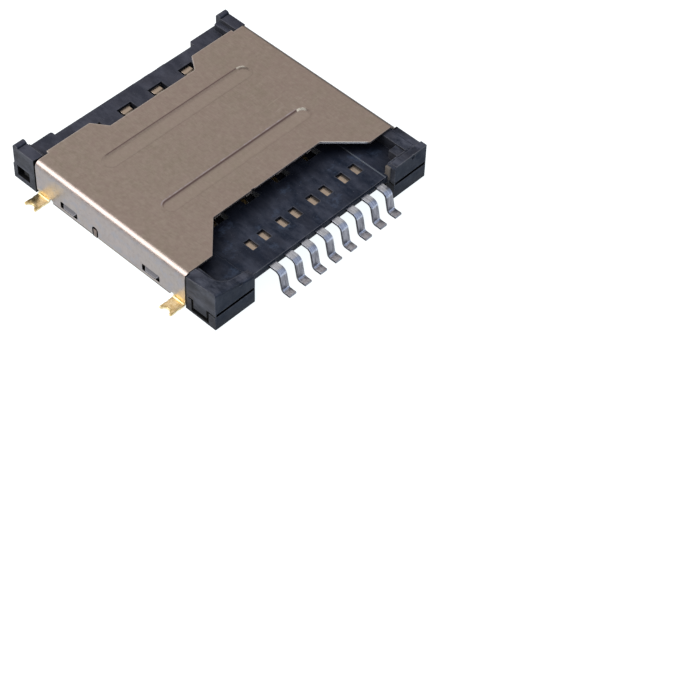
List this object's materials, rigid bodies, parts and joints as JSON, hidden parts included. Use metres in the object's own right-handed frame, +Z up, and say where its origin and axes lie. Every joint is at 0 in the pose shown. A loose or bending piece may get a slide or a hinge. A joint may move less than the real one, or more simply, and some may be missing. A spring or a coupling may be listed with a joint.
{
  "type": "sim card socket",
  "caption": "Surface-mount socket that holds telephone cards one above the other, with a folded metal shield, moulded decks, spring contacts and solder leads at both ends.",
  "frame": {"origin": "on the board plane, in the middle of the body's width, 8.78 mm behind the face of the corner blocks", "axes": "+Z up from the board, +Y towards the end where the cards go in, X along the rows of leads"},
  "size_m": [0.0196, 0.0193, 0.0029],
  "materials": {
    "shield_metal": "tin plated sheet with a fine dull grain; the solder tabs have a bright gold flash",
    "plastic": "black glass-filled moulding, satin, with fine pale specks",
    "contact_metal": "tin plated copper alloy strip, gold flash on the part that touches the card"
  },
  "bodies": {
    "root": {"shield": "shield_metal", "upper_housing": "plastic", "lower_housing": "plastic", "upper_contact_1": "contact_metal", "upper_contact_2": "contact_metal", "upper_contact_3": "contact_metal", "upper_contact_4": "contact_metal", "upper_contact_5": "contact_metal", "upper_contact_6": "contact_metal", "upper_contact_7": "contact_metal", "upper_contact_8": "contact_metal", "lower_contact_1": "contact_metal", "lower_contact_2": "contact_metal", "lower_contact_3": "contact_metal", "lower_contact_4": "contact_metal", "lower_contact_5": "contact_metal", "lower_contact_6": "contact_metal", "lower_contact_7": "contact_metal", "lower_contact_8": "contact_metal"}
  },
  "joints": []
}
